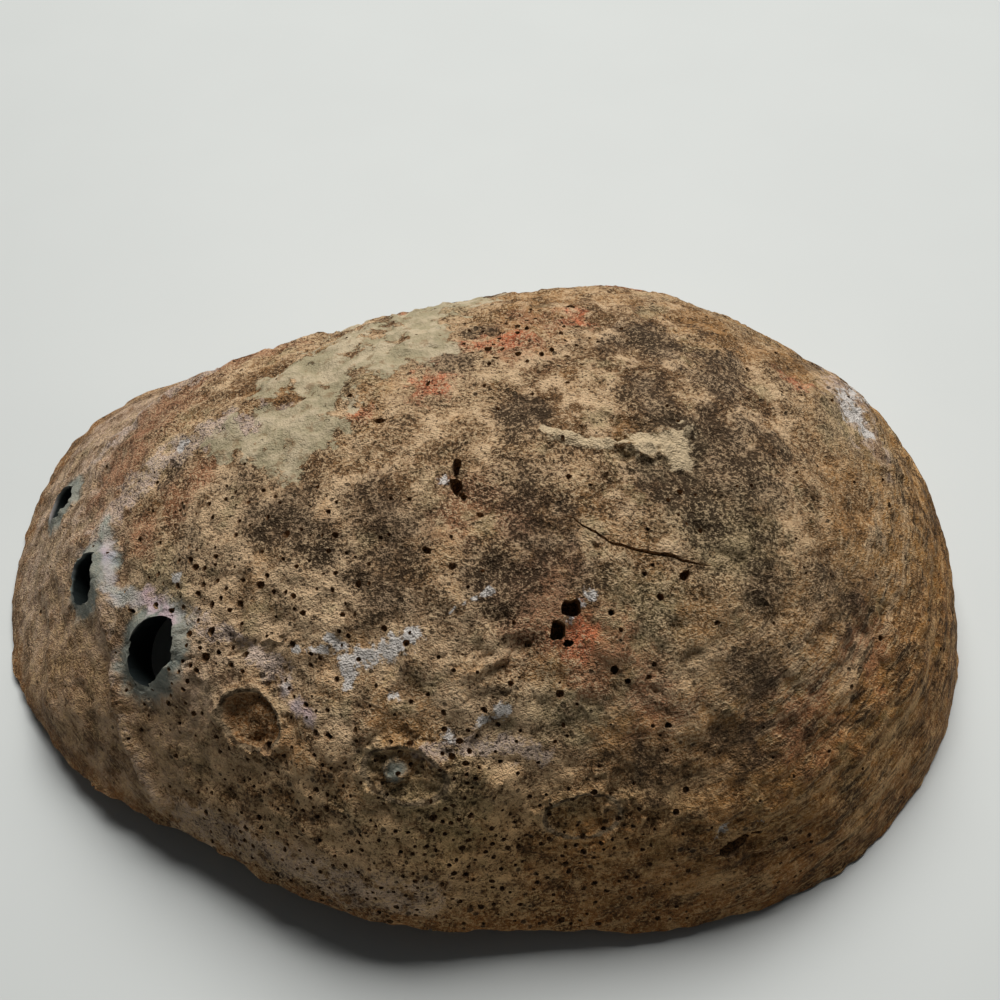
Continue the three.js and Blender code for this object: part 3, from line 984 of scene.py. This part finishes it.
def weathered_outside(colours, groups):
    """Chalky, bored and stained outside of the shell."""
    material, nodes = new_material("weathered_outside", colours.tan)
    place = nodes.place()
    along = nodes.add("ShaderNodeAttribute", attribute_name="growth").outputs["Vector"]

    def mask(name, size, ragged, softness, strength=1.0):
        made = place_group(nodes, groups["ragged"], {
            "Value": nodes.value(name), "Place": place, "Size": size, "Ragged": ragged,
            "Softness": softness}).outputs["Mask"]
        return nodes.times(made, strength) if strength != 1.0 else made

    def stain(base, amount, colour):
        return nodes.mix(amount, base, opaque(colour))

    cloud = nodes.noise(place, 16, 5.0, 0.65)
    patch = nodes.noise(place, 5.5, 6.0, 0.7)
    fleck = nodes.noise(place, 2.4, 4.0, 0.7)
    soot = mask("soot", 10.0, 1.9, 0.5)
    flank = nodes.math("MAXIMUM", nodes.value("amber"), nodes.value("lilac"))
    dirt = nodes.plus(nodes.times(soot, 0.8), nodes.spread(patch, 0.56, 0.36, -0.1, 0.6))
    clean = nodes.times(nodes.plus(nodes.value("sandy"), nodes.value("lilac")), 0.22)
    dirt = nodes.minus(dirt, clean)
    bloom = nodes.plus(nodes.spread(cloud, 0.38, 0.62, 0.1, 0.8), nodes.times(soot, -0.3))
    grain_inputs = {"Size": 0.62, "Dirt": dirt, "Bloom": bloom}
    grain = place_group(nodes, groups["grain"], {"Place": place, **grain_inputs}).outputs
    streaks = place_group(nodes, groups["grain"], {"Place": along, **grain_inputs}).outputs
    drawn = nodes.times(flank, 0.6)
    dark = nodes.mix(drawn, grain["Dark"], streaks["Dark"])
    pale = nodes.mix(drawn, grain["Pale"], streaks["Pale"])

    base = stain(opaque(colours.tan), nodes.spread(cloud, 0.56, 0.44), colours.brown)
    worn = nodes.times(nodes.value("riddled"), 0.12)
    base = stain(base, nodes.spread(nodes.plus(patch, worn), 0.50, 0.60), colours.sand)
    sandy = mask("sandy", 9.0, 1.2, 0.45)
    base = stain(base, nodes.times(sandy, 0.6), colours.sand)
    base = stain(base, nodes.times(nodes.value("amber"), nodes.spread(patch, 0.40, 0.54, 0.25, 1.0)),
                 colours.amber)
    blush = nodes.spread(nodes.noise(place, 13, 6.0, 0.68), 0.53, 0.64, 0.0, 0.55)
    moss = nodes.spread(nodes.noise(place, 10, 6.0, 0.68), 0.46, 0.36, 0.0, 0.6)
    base = stain(base, blush, colours.ochre)
    base = stain(base, moss, colours.olive)
    for name, size, ragged in (("olive", 5.0, 1.0), ("ochre", 4.0, 1.1)):
        base = stain(base, mask(name, size, ragged, 0.3, 0.75), getattr(colours, name))
    base = stain(base, nodes.times(nodes.value("lilac"), nodes.spread(patch, 0.38, 0.58, 0.25, 0.95)),
                 colours.lilac)
    # The last of these, the pale lilac bands, is worn shell and, along the fold crests, painted highlight.
    for name, *edge in (("rust", 4.0, 0.8, 0.3), ("rose", 5.0, 1.3, 0.35, 0.8),
                        ("coral", 3.0, 1.2, 0.3, 0.8), ("sheen_and_wear", 3.0, 1.7, 0.2, 0.7)):
        base = stain(base, mask(name, *edge), getattr(colours, name))
    base = stain(base, nodes.times(nodes.value("seal"), 0.85), colours.seal)
    base = stain(base, nodes.spread(fleck, 0.46, 0.34, 0.0, 0.45), colours.brown)
    low, mottle = nodes.value("low"), nodes.noise(place, 3.0, 5.0, 0.75)
    base = stain(base, nodes.times(low, nodes.spread(mottle, 0.53, 0.60, 0.0, 0.6)), colours.sand)
    base = stain(base, nodes.times(low, nodes.spread(mottle, 0.47, 0.38, 0.0, 0.7)), colours.brown)
    bands = nodes.noise(along, 6, 5.0, 0.7)
    dashes = nodes.noise(along, 2.4, 3.0, 0.65)
    amber = nodes.value("amber")
    base = stain(base, nodes.times(amber, nodes.spread(bands, 0.48, 0.38, 0.0, 0.85)), colours.brown)
    base = stain(base, nodes.times(amber, nodes.spread(bands, 0.53, 0.62, 0.0, 0.75)), colours.sand)
    base = stain(base, nodes.times(amber, nodes.spread(dashes, 0.46, 0.36, 0.0, 0.85)), colours.grime_and_pit_shade)
    base = stain(base, nodes.times(soot, 0.68), colours.soot)
    base = nodes.mix(1.0, base, nodes.spread(patch, 0.38, 0.62, 0.78, 1.2), "MULTIPLY")
    base = stain(base, nodes.times(pale, nodes.spread(soot, 0, 1, 0.66, 0.42)), colours.speck)
    base = stain(base, nodes.times(dark, 0.88), colours.grime_and_pit_shade)

    base = nodes.mix(nodes.value("warm"), base, opaque(WARM_STAIN), "MULTIPLY")
    base = nodes.mix(nodes.value("dull"), base, opaque(DULL_STAIN), "MULTIPLY")
    pits = place_group(nodes, groups["dimple"], {
        "Place": place, "Size": 2.3, "Amount": nodes.value("riddled")}).outputs
    base = stain(base, nodes.times(pits["Lip"], 0.12), colours.speck)
    # Painted shade and dirt: the insides of the fine borings are darkened.
    base = stain(base, nodes.times(pits["Mask"], 0.8), colours.grime_and_pit_shade)

    crust = mask("crust", 4.0, 1.0, 0.06)
    crust_colour = stain(opaque(colours.crust), nodes.spread(patch, 0.42, 0.62), colours.crust_pale)
    crust_colour = stain(crust_colour, nodes.spread(fleck, 0.46, 0.36, 0.0, 0.5), colours.brown)
    base = nodes.mix(nodes.times(crust, 0.9), base, crust_colour)
    crest = mask("crest", 1.6, 0.7, 0.10, 0.92)
    base = stain(base, crest, colours.flake)
    collar = mask("collar", 3.0, 0.5, 0.2)
    base = stain(base, nodes.times(collar, 0.8), colours.collar)
    base = stain(base, mask("score", 2.0, 0.5, 0.12, 0.9), colours.grime_and_pit_shade)
    ring = nodes.times(nodes.value("ring"), nodes.spread(fleck, 0.42, 0.56, 0.0, 0.4))
    base = stain(base, ring, colours.speck)
    pearl = mask("pearl", 2.0, 0.7, 0.25, 0.75)
    base = nodes.mix(pearl, base, worn_nacre(nodes, colours, groups, place))
    chalk = nodes.times(mask("chalk", 1.6, 0.9, 0.12, 0.85), nodes.spread(dark, 0, 1, 1.0, 0.4))
    base = stain(base, chalk, colours.chalk)

    smooth = nodes.math("MAXIMUM", crust, collar)
    rough = nodes.spread(smooth, 0, 1, 0.82, 0.58)
    height = nodes.times(grain["Height"], nodes.spread(smooth, 0, 1, 2.0, 0.6))
    height = nodes.plus(height, nodes.times(patch, 2.6))
    height = nodes.plus(height, nodes.times(crust, 0.4))
    height = nodes.minus(height, nodes.times(pits["Mask"], 0.9))
    return finish_material(material, nodes, {
        "Base Color": base, "Roughness": rough, "Normal": nodes.bump(height, 1.0, 0.5),
        "Specular IOR Level": 0.2})


def nacre_inside(colours, groups):
    """Glossy mother of pearl with a rough muscle scar."""
    material, nodes = new_material("nacre_inside", colours.silver)
    place = nodes.place()
    swirl = place_group(nodes, groups["nacre"], {
        "Place": place, "Silver": opaque(colours.silver), "Pink": opaque(colours.pink),
        "Green": opaque(colours.green), "Blue": opaque(colours.blue)}).outputs["Color"]
    scar = nodes.value("scar")
    colour = nodes.mix(nodes.times(scar, 0.5), swirl, opaque(colours.pearl_green))
    edge = place_group(nodes, groups["ragged"], {
        "Value": nodes.value("edge"), "Place": place, "Size": 4.0, "Ragged": 0.4, "Softness": 0.12})
    colour = nodes.mix(edge.outputs["Mask"], colour, opaque(colours.rust))
    ripple = nodes.noise(place, 5, 3.0, 0.5)
    fine = nodes.noise(place, 1.2, 2.0, 0.5)
    height = nodes.plus(ripple, nodes.times(fine, nodes.spread(scar, 0, 1, 0.1, 0.5)))
    return finish_material(material, nodes, {
        "Base Color": colour, "Roughness": nodes.spread(ripple, 0.3, 0.7, 0.2, 0.34),
        "Normal": nodes.bump(height, 0.5, 0.5), "Coat Weight": 0.5, "Coat Roughness": 0.12,
        "Metallic": 0.25})


def boring_wall(colours, groups):
    """Dirty wall of a boring."""
    material, nodes = new_material("boring_wall", colours.grime_and_pit_shade)
    place = nodes.place()
    grain = place_group(nodes, groups["grain"], {"Place": place, "Size": 0.6, "Bloom": 1.0}).outputs
    colour = nodes.mix(grain["Pale"], opaque(colours.burrow), opaque(colours.tan))
    return finish_material(material, nodes, {
        "Base Color": colour, "Roughness": 0.95, "Normal": nodes.bump(grain["Height"], 0.6, 0.2),
        "Specular IOR Level": 0.2})


def hole_wall(colours, groups):
    """Grey nacre that lines an open hole, turning to painted shade a little way down."""
    material, nodes = new_material("hole_wall", colours.collar)
    place = nodes.place()
    swirl = worn_nacre(nodes, colours, groups, place)
    shade = nodes.value("depth")
    colour = nodes.mix(nodes.noise(place, 2, 3.0), opaque(colours.collar), swirl)
    # Painted shade: deeper down, the wall turns to the near-black shade colour.
    colour = nodes.mix(nodes.spread(shade, 0.0, 0.16), colour, opaque(colours.shade))
    return finish_material(material, nodes, {
        "Base Color": colour, "Roughness": 0.45,
        "Normal": nodes.bump(nodes.noise(place, 1.5, 3.0), 0.4, 0.3)})


# ---------------------------------------------------------------------------------------------
# Settings a user would change

def length_setting(name, description, default, low, high):
    return FloatProperty(name=name, description=description, default=default, min=low, max=high)


def colour_setting(name, description, default):
    return FloatVectorProperty(name=name, description=description, default=default, subtype="COLOR",
                               size=3, min=0, max=1)


class ShellShape(bpy.types.PropertyGroup):
    """Sizes of the shell's make"""

    wall: length_setting("Wall", "Thickness of the wall in millimetres", 5.5, 3, 9)
    crown_wall: length_setting("Crown Wall", "Thickness under the crown in millimetres", 7, 3, 12)
    relief: length_setting("Relief", "How strongly the worn outside rises and falls", 1.0, 0, 2)
    cells: IntProperty(name="Cells", description="Cells across the outside's net", default=226,
                       min=80, max=260)
    seed: IntProperty(name="Seed", description="Scatter of the small borings", default=7, min=0)


class ShellColours(bpy.types.PropertyGroup):
    """Colours of the shell"""

    tan: colour_setting("Tan", "Main colour of the worn outside", (0.40, 0.246, 0.126))
    brown: colour_setting("Brown", "Darker clouds in the tan", (0.21, 0.11, 0.045))
    sand: colour_setting("Sand", "Paler clouds in the tan", (0.57, 0.395, 0.235))
    amber: colour_setting("Amber", "Warm brown of the spire end", (0.29, 0.15, 0.045))
    olive: colour_setting("Olive", "Grey-green cast", (0.27, 0.215, 0.11))
    ochre: colour_setting("Ochre", "Yellow-brown stains", (0.36, 0.18, 0.06))
    lilac: colour_setting("Lilac", "Pinkish grey of the front end", (0.455, 0.33, 0.25))
    rose: colour_setting("Rose", "Red-brown growth band", (0.33, 0.145, 0.07))
    coral: colour_setting("Coral", "Red spots", (0.58, 0.16, 0.07))
    rust: colour_setting("Rust", "Orange-brown stain along the rim", (0.27, 0.125, 0.042))
    soot: colour_setting("Soot", "Dark stains", (0.11, 0.072, 0.043))
    # Dirt between the grains and in scores, and painted shade and dirt inside the fine borings.
    grime_and_pit_shade: colour_setting("Grime", "Dirt between the grains and in borings", (0.04, 0.023, 0.010))
    flake: colour_setting("Flake", "Raised flake on the crown", (0.68, 0.53, 0.335))
    # Pale lilac of worn shell, and painted highlight along the fold crests.
    sheen_and_wear: colour_setting("Sheen", "Pale lilac bands along the folds", (0.58, 0.46, 0.40))
    seal: colour_setting("Seal", "Orange-brown floor of a sealed hole", (0.42, 0.19, 0.06))
    # Painted shade deep inside the open holes.
    shade: colour_setting("Shade", "Dark depth of the open holes", (0.012, 0.017, 0.017))
    burrow: colour_setting("Burrow", "Dirty walls of the borings", (0.13, 0.078, 0.042))
    speck: colour_setting("Speck", "Pale grains", (0.68, 0.50, 0.30))
    crust: colour_setting("Crust", "Grey-green crust", (0.38, 0.325, 0.20))
    crust_pale: colour_setting("Pale Crust", "Pale patches in the crust", (0.53, 0.44, 0.295))
    chalk: colour_setting("Chalk", "Fresh white scars", (0.74, 0.70, 0.66))
    collar: colour_setting("Collar", "Grey-green collar of a hole", (0.20, 0.235, 0.21))
    pearl: colour_setting("Pearl", "Worn nacre outside", (0.50, 0.45, 0.43))
    pearl_pink: colour_setting("Pearl Pink", "Pink in worn nacre", (0.62, 0.40, 0.46))
    pearl_green: colour_setting("Pearl Green", "Green in worn nacre", (0.36, 0.46, 0.36))
    pearl_blue: colour_setting("Pearl Blue", "Blue in worn nacre", (0.34, 0.38, 0.46))
    silver: colour_setting("Silver", "Nacre inside", (0.74, 0.73, 0.70))
    pink: colour_setting("Pink", "Pink bands in the nacre", (0.78, 0.55, 0.62))
    green: colour_setting("Green", "Green bands in the nacre", (0.42, 0.66, 0.56))
    blue: colour_setting("Blue", "Blue bands in the nacre", (0.42, 0.52, 0.72))


class StageSettings(bpy.types.PropertyGroup):
    """Floor, light and camera"""

    floor: colour_setting("Floor", "Colour of the table", (0.575, 0.60, 0.59))
    sky: FloatProperty(name="Sky", description="Strength of the light from all round", default=0.055, min=0)
    window: FloatProperty(name="Window", description="Power of the soft light overhead", default=30.0,
                          min=0, subtype="POWER", unit="POWER")
    elevation: FloatProperty(name="Elevation", description="Height of the view above level",
                             default=math.radians(49.4), subtype="ANGLE", unit="ROTATION")
    distance: FloatProperty(name="Distance", description="Camera's distance from what it looks at",
                            default=0.246, min=0.1, subtype="DISTANCE", unit="LENGTH")
    lens: FloatProperty(name="Lens", description="Focal length in millimetres", default=45, min=10)


# ---------------------------------------------------------------------------------------------
# Stage

def link(obj):
    bpy.context.scene.collection.objects.link(obj)
    return obj


def build_floor(stage):
    """Plain pale table top, faintly mottled."""
    reach = 3.0
    corners = reach * np.array([(-1, -1, 0), (1, -1, 0), (1, 1, 0), (-1, 1, 0)])
    mesh = new_mesh("floor", corners, [(0, 1, 2, 3)])
    material, nodes = new_material("table_top", stage.floor)
    place = nodes.place()
    shade = nodes.spread(nodes.noise(place, 40, 2.0), 0.3, 0.7, 0.985, 1.0)
    colour = nodes.mix(1.0, opaque(stage.floor), shade, "MULTIPLY")
    sockets = {"Base Color": colour, "Roughness": 0.5}
    mesh.materials.append(finish_material(material, nodes, sockets))
    link(bpy.data.objects.new("floor", mesh))


LAMP_PLACE = (0.08, 0.78, 1.30)    # metres
LAMP_AIM = (0, 0, 0.03)            # metres
VIEW_TARGET = (-6.5, 9.3, 20)      # from the crown's axis at floor level


def build_light(stage):
    """Even pale sky, and a broad soft light high up behind the shell."""
    world = bpy.data.worlds.new("sky")
    world.use_nodes = True
    background = world.node_tree.nodes["Background"]
    background.inputs["Color"].default_value = (0.93, 0.97, 1.0, 1)
    background.inputs["Strength"].default_value = stage.sky
    bpy.context.scene.world = world
    lamp = bpy.data.lights.new("window", "AREA")
    lamp.shape = "RECTANGLE"
    lamp.size, lamp.size_y = 1.2, 0.9
    lamp.energy = stage.window
    lamp.color = (1.0, 0.985, 0.96)
    window = link(bpy.data.objects.new("window", lamp))
    window.location = LAMP_PLACE
    aim = Vector(LAMP_AIM) - window.location
    window.rotation_euler = aim.to_track_quat("-Z", "Y").to_euler()
    bpy.context.scene.view_settings.view_transform = "Standard"


def build_camera(stage):
    """View from the side of the holes, looking down at the dome."""
    camera = bpy.data.cameras.new("camera")
    camera.lens = stage.lens
    camera.sensor_width = 36
    view = link(bpy.data.objects.new("camera", camera))
    target = Vector((CROWN * (1, 1, 0) + VIEW_TARGET) * METRES)
    back = Vector((0, -math.cos(stage.elevation), math.sin(stage.elevation)))
    view.location = target + back * stage.distance
    view.rotation_euler = (-back).to_track_quat("-Z", "Y").to_euler()
    bpy.context.scene.camera = view


# ---------------------------------------------------------------------------------------------
# Operators


SHARP_ANGLE = 42   # degrees between two faces past which their edge shows


class SHELL_OT_shell(bpy.types.Operator):
    """Build the abalone shell"""

    bl_idname = "shell.shell"
    bl_label = "Shell"
    bl_options = {"REGISTER", "UNDO"}

    def execute(self, context):
        shape, colours = context.scene.shell_shape, context.scene.shell_colours
        groups = {"ragged": ragged_group(), "grain": grain_group(), "dimple": dimple_group(),
                  "nacre": nacre_group()}
        mesh, outer_count = shell_mesh(shape)
        mesh.materials.append(weathered_outside(colours, groups))
        mesh.materials.append(nacre_inside(colours, groups))
        dirt, lining = boring_wall(colours, groups), hole_wall(colours, groups)
        for material in (dirt, lining):
            mesh.materials.append(material)
        shell = link(bpy.data.objects.new("abalone_shell", mesh))

        points = np.array([v.co for v in mesh.vertices[:outer_count]])
        normals = np.array([v.normal for v in mesh.vertices[:outer_count]])
        areas = vertex_areas(mesh)[:outer_count]
        pits = riddling(points, normals, areas, shape.seed)
        carve(shell, plugs_mesh("small_borings", pits), dirt)
        for plugs in split_apart(large_borings(shape.seed)):
            carve(shell, plugs_mesh("large_borings", plugs), dirt)
        carve(shell, crack_wedge(), dirt)
        carve(shell, plugs_mesh("open_holes", open_holes(shape.seed)), lining)
        mesh = shell.data
        mesh.name = "abalone_shell"
        triangles = sum(len(face.vertices) - 2 for face in mesh.polygons)
        self.report({"INFO"}, f"{len(pits)} borings, {triangles} triangles")

        points = np.array([v.co for v in mesh.vertices])
        for name, value in colour_values(points).items():
            store(mesh, name, "FLOAT", value)
        angle = np.arctan2(points[:, 1], points[:, 0])
        store(mesh, "growth", "FLOAT_VECTOR", growth_space(angle, points) * METRES)
        store(mesh, "scar", "FLOAT", ramp(scar_reach(points), 1.05, 0.85))
        lip = around(RIM_RADIUS, angle) - around(RIM_BREADTH, angle)
        store(mesh, "edge", "FLOAT", 0.75 * ramp(np.hypot(points[:, 0], points[:, 1]) - lip, -4.0, 0.0))
        mesh.transform(Matrix.Translation(Vector(CROWN * METRES)) @ Matrix.Scale(METRES, 4))
        mesh.shade_smooth()
        mesh.set_sharp_from_angle(angle=math.radians(SHARP_ANGLE))
        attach(shell, "root")
        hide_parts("shell")
        return {"FINISHED"}


class SHELL_OT_stage(bpy.types.Operator):
    """Build the floor, the light and the camera"""

    bl_idname = "shell.stage"
    bl_label = "Stage"
    bl_options = {"REGISTER", "UNDO"}

    def execute(self, context):
        stage = context.scene.shell_stage
        build_floor(stage)
        build_light(stage)
        build_camera(stage)
        return {"FINISHED"}


class SHELL_PT_panel(bpy.types.Panel):
    """Sidebar list of the shell's settings"""

    bl_label = "Abalone Shell"
    bl_idname = "SHELL_PT_panel"
    bl_space_type = "VIEW_3D"
    bl_region_type = "UI"
    bl_category = "Shell"

    def draw(self, context):
        for operator, settings in (("shell.shell", context.scene.shell_shape),
                                   (None, context.scene.shell_colours),
                                   ("shell.stage", context.scene.shell_stage)):
            box = self.layout.box()
            for name in settings.__annotations__:
                box.prop(settings, name)
            if operator:
                box.operator(operator)


CLASSES = (ShellShape, ShellColours, StageSettings, SHELL_OT_shell, SHELL_OT_stage, SHELL_PT_panel)


def register():
    for cls in CLASSES:
        bpy.utils.register_class(cls)
    bpy.types.Scene.shell_shape = PointerProperty(type=ShellShape)
    bpy.types.Scene.shell_colours = PointerProperty(type=ShellColours)
    bpy.types.Scene.shell_stage = PointerProperty(type=StageSettings)


def unregister():
    del bpy.types.Scene.shell_stage
    del bpy.types.Scene.shell_colours
    del bpy.types.Scene.shell_shape
    for cls in reversed(CLASSES):
        bpy.utils.unregister_class(cls)


def main():
    register()
    bpy.ops.shell.stage()
    bpy.ops.shell.shell()


if __name__ == "__main__":
    main()
